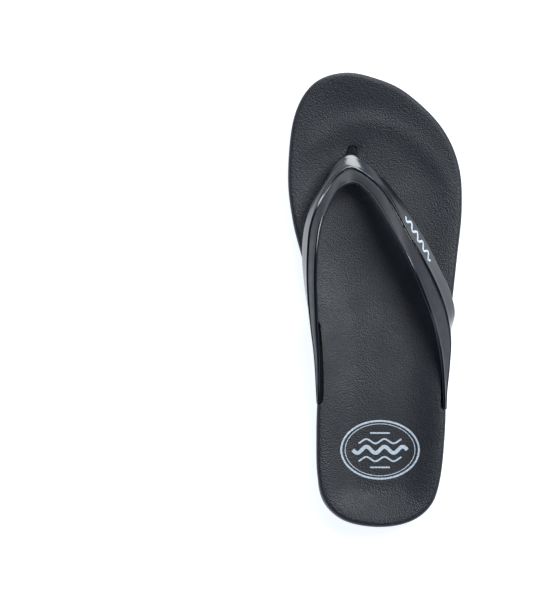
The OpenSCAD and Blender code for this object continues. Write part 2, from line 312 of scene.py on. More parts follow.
def eva_grain_with_painted_shade():
    material, tree, shader, place = start_plastic("eva_leather_grain_with_painted_shade", 0.6)
    bend = add_node(tree, "ShaderNodeTexNoise", {"Scale": 420.0, "Detail": 2.0}, {"Vector": place})
    shift = add_node(tree, "ShaderNodeVectorMath", {"operation": "SCALE", "Scale": 0.5 * MM},
                     {0: bend.outputs["Color"]})
    moved = add_node(tree, "ShaderNodeVectorMath", {"operation": "ADD"}, {0: place, 1: shift.outputs[0]})
    pebbles = add_node(tree, "ShaderNodeTexVoronoi", {"feature": "SMOOTH_F1", "Scale": 1 / (GRAIN_SIZE * MM),
                       "Smoothness": 0.4}, {"Vector": moved.outputs[0]})
    fine = add_node(tree, "ShaderNodeTexNoise", {"Scale": 2600.0, "Detail": 2.0}, {"Vector": place})
    height = add_node(tree, "ShaderNodeMath", {"operation": "MULTIPLY_ADD", 1: -0.3},
                      {0: fine.outputs["Fac"], 2: pebbles.outputs["Distance"]})
    bump = add_node(tree, "ShaderNodeBump", {"invert": True, "Strength": 0.8, "Distance": 0.26 * MM},
                    {"Height": height.outputs[0]})
    patches = add_node(tree, "ShaderNodeTexNoise", {"Scale": 38.0, "Detail": 4.0}, {"Vector": place})
    # The base colour is painted: darker in the valleys between the pebbles as painted shade, lighter on their
    # tops as a painted sheen.
    mix = add_node(tree, "ShaderNodeMix", {"data_type": "RGBA", 6: linear("#04060b"), 7: linear("#0b0f18")},
                   {0: spread(tree, pebbles.outputs["Distance"], 0.15, 0.75, 1, 0)})
    tree.links.new(mix.outputs[2], shader.inputs["Base Color"])
    tree.links.new(spread(tree, patches.outputs["Fac"], 0.3, 0.7, 0.46, 0.6), shader.inputs["Roughness"])
    tree.links.new(bump.outputs[0], shader.inputs["Normal"])
    return material


footbed_grain_with_painted_shade = eva_grain_with_painted_shade()
print("grain:", GRAIN_SIZE, "mm")

# %% [markdown]
# ## Moulded foam, tread rubber and vinyl
# The sidewall is the foam's own skin off a blasted mould: satin, with a grain under a tenth of a millimetre,
# drawn coarser here so that it shows. The tread is denser rubber with faint flow marks. The strap is
# injected vinyl: its front half comes off polished steel and its rear half off a blasted face.
# One recipe with different numbers serves them all: two close tones in soft clouds, uneven polish, and a
# fine speckle as bump.

# %% Moulded finishes
def moulded(name, dark, light, polish_from, polish_to, speckle_size, speckle_depth):
    """A moulded plastic: close tones in clouds, roughness in patches and a fine speckle, sizes in mm."""
    material, tree, shader, place = start_plastic(name, polish_from)
    clouds = add_node(tree, "ShaderNodeTexNoise", {"Scale": 45.0, "Detail": 5.0}, {"Vector": place})
    mix = add_node(tree, "ShaderNodeMix", {"data_type": "RGBA", 6: linear(dark), 7: linear(light)},
                   {0: spread(tree, clouds.outputs["Fac"], 0.35, 0.65, 0, 1)})
    polish = add_node(tree, "ShaderNodeTexNoise", {"Scale": 160.0, "Detail": 3.0}, {"Vector": place})
    speckle = add_node(tree, "ShaderNodeTexNoise", {"Scale": 1 / (speckle_size * MM), "Detail": 2.0},
                       {"Vector": place})
    bump = add_node(tree, "ShaderNodeBump", {"Strength": 0.6, "Distance": speckle_depth * MM},
                    {"Height": speckle.outputs["Fac"]})
    tree.links.new(mix.outputs[2], shader.inputs["Base Color"])
    tree.links.new(spread(tree, polish.outputs["Fac"], 0.3, 0.7, polish_from, polish_to),
                   shader.inputs["Roughness"])
    tree.links.new(bump.outputs[0], shader.inputs["Normal"])
    return material


foam_skin = moulded("eva_moulded_skin", "#191c22", "#20242b", 0.36, 0.46, 0.35, 0.03)
tread_rubber = moulded("rubber_moulded_tread", "#0d1016", "#14181f", 0.34, 0.48, 0.5, 0.03)
polished_vinyl = moulded("vinyl_off_polished_steel", "#040609", "#07090e", 0.15, 0.21, 3.0, 0.01)
blasted_vinyl = moulded("vinyl_off_blasted_steel", "#05070c", "#090c12", 0.5, 0.6, 0.32, 0.07)
plug_vinyl = moulded("vinyl_moulded_plug", "#0b0c0e", "#101114", 0.26, 0.38, 0.6, 0.03)
print("finishes:", len(bpy.data.materials))

# %% [markdown]
# ## The footbed
# The footbed is a shallow tray: a rounded edge, a deep heel cup, a flatter forefoot and a low ridge that the
# toes grip. It could be sculpted, but a tray is easier to keep true as a grid: rows run from one edge to the
# other, and the height of each point depends on how far it lies inside the edge.

# %% Footbed heights
EDGE_ROUND = 2.4
FOREFOOT_DISH = 2.2
RIDGE_Y = 108.0
RIDGE_HEIGHT = 0.9
RIDGE_WIDTH = 6.0
POST_DENT = (-14.0, 91.0)
DENT_DEPTH = 1.3
DENT_RADIUS = 5.0


def edge_distance(points):
    """How far each plan point lies inside the outline."""
    nearest = np.full(len(points), 1e9)
    for start, end in zip(outline, np.roll(outline, -1, 0)):
        step = end - start
        share = np.clip(((points - start) @ step) / (step @ step), 0, 1)
        nearest = np.minimum(nearest, np.linalg.norm(points - start - share[:, None] * step, axis=1))
    return nearest


def footbed_height(points):
    """The height of the footbed at plan points."""
    x, y = points[:, 0], points[:, 1]
    inside = edge_distance(points)
    over = np.maximum(0, EDGE_ROUND - inside)
    z = rim(y) - (EDGE_ROUND - np.sqrt(np.maximum(0, EDGE_ROUND**2 - over**2)))
    dish = FOREFOOT_DISH + (HEEL_DISH - FOREFOOT_DISH) * heel_part(y) - 0.9 * rise(70, 100, y)
    bend = ((x + 6) / 34) ** 2 * 16
    ridge = RIDGE_HEIGHT * np.exp(-(((y - RIDGE_Y + bend) / RIDGE_WIDTH) ** 2))
    from_post = (x - POST_DENT[0]) ** 2 + (y - POST_DENT[1]) ** 2
    dent = DENT_DEPTH * np.exp(-from_post / DENT_RADIUS**2)
    return z - dish * rise(1.5, 24, inside) + ridge * rise(3, 14, inside) - dent

# %% Build the footbed
ACROSS = [0.004, 0.01, 0.02, 0.032, 0.046, 0.065, 0.095, 0.14, 0.2, 0.28, 0.38, 0.5, 0.62, 0.74, 0.87, 1]
# Each ring of its side: how far it lies in, and how far below the rim
FOOTBED_SIDE = [(0, 2.4), (0, 3.4), (0, 4.8), (0.1, 6.0), (0.35, 6.6), (0.9, 7.0)]


def build_footbed():
    inner, outer = outline[1:HALF], outline[:HALF:-1]
    middle = (inner + outer) / 2
    columns = [inner + (middle - inner) * f for f in ACROSS]
    columns += [outer + (middle - outer) * f for f in ACROSS[-2::-1]]
    grid = np.stack(columns, axis=1)
    rows, width = grid.shape[:2]
    plan = grid.reshape(-1, 2)
    sides = [at_height(moved_in(outline, inset), rim(outline[:, 1]) - drop) for inset, drop in FOOTBED_SIDE]
    count, edge, last_row = len(outline), rows * width, (rows - 1) * width
    faces = grid_faces(rows, width)
    for i in range(rows - 1):
        faces.append((edge + i + 1, i * width, (i + 1) * width, edge + i + 2))
        near, far = i * width + width - 1, (i + 1) * width + width - 1
        faces.append((near, edge + count - i - 1, edge + count - i - 2, far))
    for tip, row in ((edge, 0), (edge + HALF, last_row)):
        faces += [(tip, row + j, row + j + 1) for j in range(width - 1)]
    faces += [(edge, edge + 1, 0), (edge, width - 1, edge + count - 1)]
    heel = edge + HALF
    faces += [(heel, last_row, heel - 1), (heel, heel + 1, last_row + width - 1)]
    for s in range(len(sides) - 1):
        faces += wall(edge + s * count, edge + (s + 1) * count, count)
    faces += cap(edge + (len(sides) - 1) * count, count)
    top = at_height(plan, footbed_height(plan))
    return make_piece("footbed_grained", np.vstack([top, *sides]), faces, 50)


footbed = build_footbed()
print("footbed:", (np.array(footbed.dimensions) / MM).round(1), "mm")

# %% [markdown]
# ## Holes for the strap
# The wings of the strap sink into notches along the footbed's edge, and the toe post goes down through a
# hole. On the inner side the notch is wider than the wing, and a dark slot shows beside it. Under each wing
# two pegs go down through the sole: they could be left out, as they are hidden, but the wings rest on them.

# %% Pegs, post and notches
PEG_WIDTH = 3.4
PEG_HEAD = 1.4
PEG_LENGTH = 11.0
PEG_END = 1.4
# Each side peg: the middle of its top in the wing, then the middle of its plug
PEGS = {"front_medial": ((-35.3, -31, 19.5), (-26, -31)), "rear_medial": ((-34.7, -58, 21), (-25, -70)),
        "front_lateral": ((43.0, -31, 19.5), (32, -31)), "rear_lateral": ((41.8, -59, 21), (30.5, -70))}
POST_FOOT = np.array([-14.0, 95.8, 2.8])
POST_HEAD = np.array([-14.0, 85.6, 27.8])
POST_RADIUS = ((0, 3.3), (0.06, 3.05), (0.3, 2.9), (0.6, 2.9), (0.8, 3.05), (0.92, 3.2), (1, 3.4))
PLAY = 0.3
# Each notch: its side, where it ends behind and in front, and how deep it is
INNER_NOTCH = (-1, -63.4, -12.3, 3.8)
OUTER_NOTCH = (1, -66.9, -15.5, 3.2)
NOTCH_FLOOR = 15.6
NOTCH_TOP = 45.0


def oval_ring(middle, width, length, steps=48):
    """A plan loop round an ellipse, with its first point at the +Y end."""
    turn = np.arange(steps) / steps * 2 * np.pi + np.pi / 2
    return np.column_stack([middle[0] + width / 2 * np.cos(turn), middle[1] + length / 2 * np.sin(turn)])


def stadium_ring(middle, width, length, steps=12):
    """A plan loop round a bar with round ends, lying along Y."""
    turn = np.linspace(0, np.pi, steps)
    radius, half = width / 2, (length - width) / 2
    top = np.column_stack([radius * np.cos(turn), half + radius * np.sin(turn)])
    loop = np.vstack([top, -top]) + middle
    return np.roll(loop, -(steps // 2), 0)


def peg_shape(name, play=0.0):
    """One side peg: upright and thin under its wing, then leaning in on its way down to its plug."""
    head, foot = np.array(PEGS[name][0], float), np.array([*PEGS[name][1], PEG_END])
    rings = []
    for share, lean in ((0, 0), (0.12, 0.14), (0.6, 0.66), (0.84, 0.97), (1, 1)):
        middle = foot + (head - foot) * np.array([lean, lean, share])
        flare = 0.5 * (1 - share) ** 3
        thin = (PEG_WIDTH - PEG_HEAD) * rise(0.6, 0.84, share)
        extra = 2 * play + flare
        ring = stadium_ring(middle[:2], PEG_WIDTH + extra - thin, PEG_LENGTH + extra)
        rings.append(at_height(ring, middle[2]))
    return make_piece("peg_" + name, *stack(rings))


def post_shape(play=0.0):
    """The toe post: a round bar that leans back and flares a little into the band."""
    rings = []
    for share, radius in POST_RADIUS:
        middle = POST_FOOT + (POST_HEAD - POST_FOOT) * share
        rings.append(at_height(oval_ring(middle[:2], 2 * (radius + play), 2 * (radius + play)), middle[2]))
    return make_piece("toe_post", *stack(rings))


def notch_shape(side, back, front, depth):
    """What is cut from the footbed's edge for one wing: depth is how far the cut reaches in."""
    near = outline[(outline[:, 0] * side > 0) & (outline[:, 1] > back - 6) & (outline[:, 1] < front + 6)]
    near = near[np.argsort(near[:, 1])]
    y = np.linspace(back, front, 41)
    edge = np.interp(y, near[:, 1], near[:, 0])
    ease = np.sqrt(np.clip(np.minimum(y - back, front - y) / 3, 0, 1))
    reach = edge - side * depth * (0.45 + 0.55 * ease)
    loop = np.vstack([np.column_stack([edge + side * 4, y]), np.column_stack([reach, y])[::-1]])
    return make_piece("notch", *stack([at_height(loop, NOTCH_FLOOR), at_height(loop, NOTCH_TOP)]))


combine(footbed, notch_shape(*INNER_NOTCH), "DIFFERENCE")
combine(footbed, notch_shape(*OUTER_NOTCH), "DIFFERENCE")
combine(footbed, post_shape(PLAY), "DIFFERENCE", 50)
dress(footbed, "footbed_grain", footbed_grain_with_painted_shade, "footbed")

# %% [markdown]
# ## The foam midsole
# Between the footbed and the tread lies a slab of softer foam. Its side is set back a little and has a
# rounded lip at each joint, so the layers read as lines round the sole.

# %% Build the midsole
# Each ring: how far up the slab it lies, and how far in from the outline
MIDSOLE_SIDE = [(0, 2.2), (0.03, 1.5), (0.08, 1.0), (0.2, 0.78), (0.5, 0.7), (0.8, 0.72), (0.92, 0.95),
                (0.97, 1.3), (1, 1.8)]
# Round the back of the heel the slab bulges past the footbed by this much more
HEEL_FLARE = 1.5


def build_midsole():
    rings = []
    flare = HEEL_FLARE * rise(-95, -125, outline[:, 1])
    for share, inset in MIDSOLE_SIDE:
        low, high = outsole_top(outline[:, 1]), footbed_base(outline[:, 1])
        plan = moved_in(outline, inset - flare[:, None] * np.sin(np.pi * min(1, share * 1.15)))
        rings.append(at_height(plan, low + (high - low) * share))
    return make_piece("midsole_foam", *stack(rings))


midsole = build_midsole()
dress(midsole, "midsole_foam", foam_skin, "midsole")

# %% [markdown]
# ## The tread
# The underside is ribbed. Fine grooves cross the forefoot every 2.6 mm and the heel every 3 mm, a loop-shaped
# band is left smooth, and inside the loop the grooves come in pairs. The arch is hollow, with a bar along it
# in a moat.
# Cutting a hundred grooves with Booleans would be slow, so the underside is one grid whose rows fall exactly
# on the shoulders of every groove. Its columns follow the loop, so each groove stops cleanly at the band.

# %% Groove shapes
RIB_PITCH = 2.6
TONGUE_PITCH = 5.4
HEEL_PITCH = 3.0
GROOVE_DEPTH = 1.0
FINE_Y = np.arange(-18, 134, RIB_PITCH)
TONGUE_Y = np.add.outer(np.arange(-17.5, 110, TONGUE_PITCH), (-0.75, 0.75)).ravel()
HEEL_Y = np.arange(-133, -55.6, HEEL_PITCH)
FLEX_Y = np.array([31, 58, 85, 112.6])
# Half of each groove's profile: distance from its middle, and depth there
FINE_PROFILE = ((0, 0.26, 0.36, 0.48, 0.62), (1, 0.97, 0.78, 0.14, 0))
TONGUE_PROFILE = ((0, 0.2, 0.28, 0.38, 0.48), (1, 0.96, 0.75, 0.12, 0))
FLEX_PROFILE = ((0, 0.9, 1.1, 1.3, 1.5), (0.7, 0.66, 0.5, 0.1, 0))


def grooves(y, middles, profile):
    """The depth of the nearest of these grooves at each y."""
    away = np.abs(y[:, None] - middles[None, :]).min(axis=1)
    return GROOVE_DEPTH * np.interp(away, *profile)


print("grooves:", len(FINE_Y) + len(HEEL_Y) + len(TONGUE_Y))

# %% [markdown]
# ## The tread's zones
# Each row of the underside is split into five zones: outside the loop, its smooth band, the tongue inside
# it, the band again, and outside again. Behind the arch the same zones become the moat and the bar, so one
# rule serves the whole length.

# %% Where the zones lie
LOOP = [(-11, -20), (-14, 11), (-21.5, 43), (-27.5, 71), (-27, 92), (-22, 107), (-10.5, 112.5), (4, 107.5),
        (17, 95), (25, 78), (28.5, 58), (26.5, 35), (22, 8), (18.5, -20)]
LOOP_BAND = 2.6
BAR_MIDDLE = 2.7
BAR_HALF = 12.8
MOAT = 3.0
BAR_FRONT = -36.0
BAR_ROUND = -94.5
ARCH_LEVEL = 0.6
MOAT_ROOF = 4.2
POCKET_ROOF = 3.9

loop_inside = smooth_curve(LOOP, 12)
loop_along = np.gradient(loop_inside, axis=0)
loop_along /= np.linalg.norm(loop_along, axis=1)[:, None]
loop_outside = loop_inside + LOOP_BAND * np.column_stack([-loop_along[:, 1], loop_along[:, 0]])
loop_top = loop_inside[:, 1].max()
band_top = loop_outside[:, 1].max()


def loop_sides(curve, y):
    """The x of both sides of a loop at each y. Above its top both are at the top."""
    peak = int(np.argmax(curve[:, 1]))
    left = np.interp(y, curve[: peak + 1, 1], curve[: peak + 1, 0])
    right = np.interp(y, curve[peak:, 1][::-1], curve[peak:, 0][::-1])
    return left, right


def bar_sides(y, half):
    """The x of both sides of a bar with a round heel end."""
    beyond = np.minimum(0, y - BAR_ROUND)
    reach = np.sqrt(np.maximum(0, half**2 - beyond**2))
    return BAR_MIDDLE - reach, BAR_MIDDLE + reach


def zone_borders(y):
    """The x of the four borders between the five zones."""
    blend = rise(ARCH_FRONT, BAR_FRONT, y)
    outside = [(1 - blend) * a + blend * b for a, b in zip(loop_sides(loop_outside, y),
                                                           bar_sides(y, BAR_HALF + MOAT))]
    inside = [(1 - blend) * a + blend * b for a, b in zip(loop_sides(loop_inside, y), bar_sides(y, BAR_HALF))]
    return outside[0], inside[0], inside[1], outside[1]


def tread_base(y):
    """The height of the tread's lands: on the ground, and hollow in the arch."""
    arch = ARCH_LEVEL + (MOAT_ROOF - ARCH_LEVEL) * rise(-36, -52, y)
    return np.where((y < ARCH_FRONT) & (y > ARCH_BACK), arch, ground(y))


def outer_cut(y):
    """The depth of the grooves outside the loop, and of those across the heel."""
    fine = np.maximum(grooves(y, FINE_Y, FINE_PROFILE), grooves(y, FLEX_Y, FLEX_PROFILE))
    heel = grooves(y, HEEL_Y, FINE_PROFILE)
    return np.where(y > ARCH_FRONT, fine, np.where(y < ARCH_BACK, heel, 0))


def zone_heights(y):
    """The height of the outer zones, the band and the tongue at each y."""
    outer = tread_base(y) + outer_cut(y)
    moat = ARCH_LEVEL + (MOAT_ROOF - ARCH_LEVEL) * rise(-36.5, -45, y)
    band = np.where(y > ARCH_FRONT, ground(y), moat)
    band = np.where((y > band_top) | (y < BAR_ROUND - BAR_HALF - MOAT), outer, band)
    tongue = ground(y) + grooves(y, TONGUE_Y, TONGUE_PROFILE)
    pocket = np.where(y > BAR_FRONT, ARCH_LEVEL, POCKET_ROOF)
    tongue = np.where(y > ARCH_FRONT, tongue, pocket)
    tongue = np.where((y > loop_top) | (y < BAR_ROUND - BAR_HALF), band, tongue)
    return outer, band, tongue


print("loop:", round(loop_top, 1), "mm forward of the middle")

# %% Build the outsole
TREAD_INSET = 2.6
BORDER = 0.09
# Each ring of its side: how far in it lies, how far up, and how much of a groove's depth it keeps
TREAD_SIDE = [(TREAD_INSET, 0, 1), (2.15, 0.07, 1), (1.9, 0.18, 0.5), (1.8, 0.34, 0.05), (1.8, 0.7, 0),
              (1.95, 0.93, 0), (2.5, 1, 0)]


def tread_rows(high, low):
    """The y of every row, toe first, with more of them where a border curves round."""
    parts = [np.linspace(low, high, 190)[1:-1]]
    for middles, profile in ((FINE_Y, FINE_PROFILE), (TONGUE_Y, TONGUE_PROFILE), (HEEL_Y, FINE_PROFILE),
                             (FLEX_Y, FLEX_PROFILE)):
        for offset in profile[0][1:]:
            parts += [middles - offset, middles + offset]
    closer = np.array([0.05, 0.2, 0.45, 0.8, 1.25, 1.8])
    parts += [high - closer, low + closer, loop_top - closer, band_top - closer]
    parts += [BAR_ROUND - BAR_HALF + closer, BAR_ROUND - BAR_HALF - MOAT + closer]
    for edge in (ARCH_FRONT, ARCH_BACK, BAR_FRONT, loop_top, band_top, BAR_ROUND - BAR_HALF,
                 BAR_ROUND - BAR_HALF - MOAT):
        parts.append(np.array([edge - BORDER, edge + BORDER]))
    y = np.unique(np.concatenate(parts).round(3))
    y = y[(y > low + 0.03) & (y < high - 0.03)]
    return y[np.append(True, np.diff(y) > 0.045)][::-1]


def tread_columns(left, right, borders):
    """The x of every column in each row, and which zone each column is in."""
    a, b, c, d = borders
    columns, zones = [], []
    for start, end, shares, zone in ((left, a - BORDER, (0, 0.04, 0.35, 0.7, 1), 0),
                                     (a + BORDER, b - BORDER, (0, 1), 1),
                                     (b + BORDER, c - BORDER, (0, 0.25, 0.5, 0.75, 1), 2),
                                     (c + BORDER, d - BORDER, (0, 1), 1),
                                     (d + BORDER, right, (0, 0.3, 0.65, 0.96, 1), 0)):
        columns += [start + (end - start) * share for share in shares]
        zones += [zone] * len(shares)
    return np.maximum.accumulate(np.stack(columns, axis=1), axis=1), zones


def build_outsole():
    start = int(np.argmax(moved_in(outline, TREAD_INSET)[:, 1]))
    around = np.roll(outline, -start, 0)
    edge = moved_in(around, TREAD_INSET)
    edge = np.vstack([edge, edge[:1]])
    tail, whole = int(np.argmin(edge[:, 1])), len(outline)
    y = tread_rows(edge[0, 1], edge[tail, 1])
    inner = np.interp(-y, -edge[: tail + 1, 1], np.arange(tail + 1))
    outer = np.interp(y, edge[tail:, 1], np.arange(tail, whole + 1))
    left = np.interp(inner, np.arange(whole + 1), edge[:, 0])
    right = np.interp(outer, np.arange(whole + 1), edge[:, 0])
    x, zones = tread_columns(left, right, zone_borders(y))
    heights = np.stack(zone_heights(y), axis=1)[:, zones]
    grid = np.stack([x, np.broadcast_to(y[:, None], x.shape), heights], axis=2)
    width = x.shape[1]
    tips = [np.tile([*edge[i], ground(edge[i, 1])], (1, width, 1)) for i in (0, tail)]
    grid = np.concatenate([tips[0], grid, tips[1]])
    place = np.concatenate([[0], inner, [tail], outer[::-1]])
    row_y = np.concatenate([edge[:1, 1], y, edge[tail : tail + 1, 1], y[::-1]])
    base, cut = tread_base(row_y), outer_cut(row_y)
    rings = []
    for inset, share, keep in TREAD_SIDE:
        loop = moved_in(around, inset)
        loop = np.vstack([loop, loop[:1]])
        plan = np.column_stack([np.interp(place, np.arange(whole + 1), loop[:, k]) for k in (0, 1)])
        rings.append(at_height(plan, base + share * (outsole_top(plan[:, 1]) - base) + keep * cut))
    count, first = len(place), grid.shape[0] * width
    faces = grid_faces(grid.shape[0], width)
    for s in range(len(rings) - 1):
        faces += wall(first + s * count, first + (s + 1) * count, count)
    faces += cap(first + (len(rings) - 1) * count, count)
    return make_piece("outsole_ribbed", np.vstack([grid.reshape(-1, 3), *rings]), faces, 30)


outsole = build_outsole()
print("outsole:", (np.array(outsole.dimensions) / MM).round(1), "mm,", len(outsole.data.vertices), "points")

# %% [markdown]
# ## Plugs under the sole
# The strap's pegs and its toe post are pulled down through the sole and capped with oval plugs that lie
# almost flush in their recesses, with a dark gap round each. A ring and a dimple moulded into each plug keep
# it from looking like a cut-out.

# %% Build the plugs
PLUG_SIZE = (12.8, 21.0)
TOE_PLUG_SIZE = (20.0, 15.5)
TOE_PLUG_MIDDLE = (-14.0, 94.0)
PLUG_DEPTH = 3.0
PLUG_GAP = 0.55
# From the rim to the middle: share of the plug's width, and height above its lowest face
PLUG_FACE = [(1, PLUG_DEPTH), (1, 0.75), (0.985, 0.4), (0.955, 0.14), (0.9, 0.02), (0.84, 0), (0.805, 0.05),
             (0.78, 0.28), (0.73, 0.36), (0.68, 0.28), (0.655, 0.05), (0.6, 0), (0.4, 0.02), (0.3, 0.1),
             (0.2, 0.3), (0.1, 0.42), (0.03, 0.45)]


def build_plug(name, middle, size, low):
    rings = [at_height(oval_ring(middle, size[0] * share, size[1] * share, 72), low + lift)
             for share, lift in PLUG_FACE]
    return make_piece(name, *stack(rings), 35)


def recess_shape(middle, size, low):
    """What is cut from the outsole for a plug."""
    ring = oval_ring(middle, size[0] + 2 * PLUG_GAP, size[1] + 2 * PLUG_GAP, 72)
    return make_piece("recess", *stack([at_height(ring, low - 5), at_height(ring, low + PLUG_DEPTH + 0.1)]))


toe_plug_low = float(toe_spring(TOE_PLUG_MIDDLE[1])) + 0.3
plug_places = {"toe_plug": (TOE_PLUG_MIDDLE, TOE_PLUG_SIZE, toe_plug_low)}
for peg_name, (_, plug_middle) in PEGS.items():
    plug_places[peg_name + "_plug"] = (plug_middle, PLUG_SIZE, 0.2)
for node, place_of_plug in plug_places.items():
    combine(outsole, recess_shape(*place_of_plug), "DIFFERENCE", 30)
    dress(build_plug(node + "_cap", *place_of_plug), "plug_vinyl", plug_vinyl, node)
dress(outsole, "tread_rubber", tread_rubber, "outsole")

# %% [markdown]
# ## The bar in the arch
# A bar of harder rubber runs back from the arch to a round end under the heel. It stands in its moat, with
# rounded edges that catch a thin line of light.

# %% Build the bar
BAR_ROUND_OFF = ((-110, 2.2), (-106.6, 0.9), (-100, 0.6), (-30, 0.6))
# Each ring: how far in it lies, and how far above the bar's underside
BAR_SIDE = [(0, 3.6), (0, 1.3), (0.12, 0.75), (0.4, 0.3), (0.9, 0.05), (1.5, 0), (4, 0), (8, 0)]
MARK_MIDDLE = (BAR_MIDDLE, -93.5)
MARK_RADIUS = 8.0
MARK_WIDTH = 0.8


def bar_loop(half):
    """The plan of the bar: straight sides, square in front and round at the heel end."""
    y = np.concatenate([np.linspace(BAR_FRONT, BAR_ROUND, 30),
                        BAR_ROUND - half * np.sin(np.linspace(0, np.pi / 2, 24))[1:-1]])
    left, right = bar_sides(y, half)
    tail = np.array([[BAR_MIDDLE, BAR_ROUND - half]])
    front = np.array([[BAR_MIDDLE, BAR_FRONT]])
    return np.vstack([front, np.column_stack([left, y]), tail, np.column_stack([right, y])[::-1]])


def build_bar():
    rings = []
    for inset, lift in BAR_SIDE:
        plan = bar_loop(BAR_HALF - inset)
        low = np.interp(plan[:, 1], *zip(*BAR_ROUND_OFF))
        rings.append(at_height(plan, np.minimum(low + lift, MOAT_ROOF)))
    return make_piece("arch_bar", *stack(rings), 35)


def ring_cutter(middle, radius, width, low, high):
    """A flat ring to cut a round mark with."""
    steps = 96
    outer = oval_ring(middle, 2 * radius, 2 * radius, steps)
    inner = oval_ring(middle, 2 * (radius - width), 2 * (radius - width), steps)
    rings = [at_height(outer, low), at_height(outer, high), at_height(inner, high), at_height(inner, low)]
    faces = [f for s in range(4) for f in wall(s * steps, (s + 1) % 4 * steps, steps)]
    return make_piece("ring_cutter", np.vstack(rings), faces)


arch_bar = build_bar()
combine(arch_bar, ring_cutter(MARK_MIDDLE, MARK_RADIUS, MARK_WIDTH, -1, 0.9), "DIFFERENCE", 35)
dress(arch_bar, "tread_rubber", tread_rubber, "arch_shank")

# %% [markdown]
# ## The strap
# The strap is one moulding: a V of two bands that rise from wings at the sides of the foot and meet over the
# toe post. A crease runs along it. In front of the crease the vinyl is polished and slightly crowned; behind
# it lies a step lower and is finely textured.
# Each row below is one place along the strap: its front edge, its crease and its rear edge. The strap runs
# from the inner wing over the toe post to the outer wing.

# %% The strap's line
BAND = [
    [(-34.9, -64, 18.95), (-35.2, -63.2, 22.6), (-34.9, -62.6, 25.4)],
    [(-35, -55, 18.4), (-35.7, -55.3, 24.2), (-35.2, -55.5, 28)],
    [(-35.4, -42, 17.3), (-36.4, -43, 27), (-35.5, -44, 34)],
    [(-36.2, -30, 16.05), (-37.4, -31, 29), (-36, -32, 39)],
    [(-37.6, -18, 14.9), (-39, -18.5, 32), (-36.9, -19.5, 43.5)],
    [(-41.5, -3, 24.5), (-40.6, -3, 37), (-37.4, -4, 48.5)],
    [(-43.8, 12, 28), (-41.4, 12, 40.5), (-37.7, 11, 51.5)],
    [(-44.9, 28, 30.5), (-41.2, 28, 43), (-37.2, 26, 53.5)],
    [(-43.4, 44, 32), (-39.7, 43.2, 43.5), (-35.3, 41, 52)],
    [(-38.4, 60, 32.5), (-35.2, 56.6, 43), (-31.6, 52, 48.5)],
    [(-30, 75.2, 31.5), (-27.2, 70.2, 40), (-25, 63.8, 43)],
    [(-23, 84.1, 29.5), (-20, 77.5, 37), (-20, 68, 39)],
    [(-15.4, 88.1, 29), (-14.4, 79, 35.5), (-14.6, 69.8, 37.5)],
    [(-6.6, 83.6, 31), (-6, 74.9, 37.5), (-9, 68, 39)],
    [(5, 73, 34), (4, 65.6, 42.5), (-1.6, 59.4, 43.5)],
    [(14.6, 60.8, 36), (12, 52.8, 46), (6.6, 46.2, 48.5)],
    [(24, 46.6, 36.5), (19.6, 38.7, 47.5), (15.2, 31.8, 52)],
    [(32, 32.8, 35), (27.2, 25.4, 46.5), (20.8, 20.9, 53.5)],
    [(39.3, 18, 32), (33.2, 14.2, 43), (26.5, 8.2, 52.5)],
    [(45.2, 5, 29), (38.6, 2.1, 39.5), (31.6, -4.5, 49.5)],
    [(48.3, -8, 24.5), (42.5, -10, 34.5), (35.9, -17, 44.5)],
    [(45.4, -22, 15.3), (45, -24, 30.5), (38.9, -29, 39.5)],
    [(43.6, -38, 16.95), (44.4, -40, 27.5), (40.9, -42, 33.5)],
    [(42.6, -54, 18.35), (42.9, -56, 24.5), (42, -56.5, 28)],
    [(42.2, -67, 19.0), (42.6, -66.6, 22.6), (42.2, -66.2, 25.4)],
]
BAND_STEPS = 12

band = smooth_curve(np.array(BAND, float).reshape(len(BAND), 9), BAND_STEPS).reshape(-1, 3, 3)
band_width = band[:, 2] - band[:, 0]
band_width /= np.linalg.norm(band_width, axis=1)[:, None]
band_along = np.gradient(band[:, 1], axis=0)
band_along /= np.linalg.norm(band_along, axis=1)[:, None]
band_out = np.cross(band_width, band_along)
band_out /= np.linalg.norm(band_out, axis=1)[:, None]
band_length = np.linalg.norm(np.diff(band[:, 1], axis=0), axis=1).sum()
print("strap:", round(band_length), "mm long,", len(band), "sections")

# %% Build the strap
# The section: 0 is the front edge, 1 the crease and 2 the rear edge, then height above the band's face in mm.
# It goes over the polished half, down the step at the crease, over the textured half and back underneath.
SECTION = [(0, -1.5), (0, -0.9), (0.015, -0.4), (0.05, -0.08), (0.1, 0.05), (0.18, 0.05), (0.32, 0.2),
           (0.5, 0.3), (0.7, 0.35), (0.86, 0.4), (0.93, 0.55), (0.97, 0.5), (0.995, 0.2), (1.01, -0.45),
           (1.05, -0.6), (1.1, -0.4), (1.14, -0.05), (1.18, 0.05), (1.3, 0.1), (1.5, 0.15), (1.7, 0.1),
           (1.8, 0.05), (1.835, -0.1), (1.87, 0.05), (1.9, 0.1), (1.935, 0), (1.967, -0.25),
           (1.991, -0.64), (2, -1.1), (1.992, -1.7), (1.965, -2.15), (1.9, -2.45), (1.8, -2.5),
           (1.5, -2.55), (1.2, -2.55), (1, -2.55), (0.8, -2.5), (0.5, -2.4), (0.2, -2.4), (0.08, -2.3),
           (0.02, -2)]
END_ROUNDING = (0.7, 0.93)


def on_band(station, across, lift):
    """Points on the strap: station along it, across from 0 to 2, and height above its face in mm."""
    index = np.clip(station, 0, len(band) - 1.001)
    low = index.astype(int)
    part = (index - low)[:, None]
    a, c, b = (band[low, k] * (1 - part) + band[low + 1, k] * part for k in range(3))
    out = band_out[low] * (1 - part) + band_out[low + 1] * part
    first, second = np.clip(across, 0, 1)[:, None], np.clip(across - 1, 0, 1)[:, None]
    return a + (c - a) * first + (b - c) * second + out * np.reshape(lift, (-1, 1))


def wing_taper(station):
    """How much of its thickness the band loses towards the ends of its wings."""
    return 0.34 * (1 - rise(4, 52, station)) + 0.34 * rise(240, 284, station)


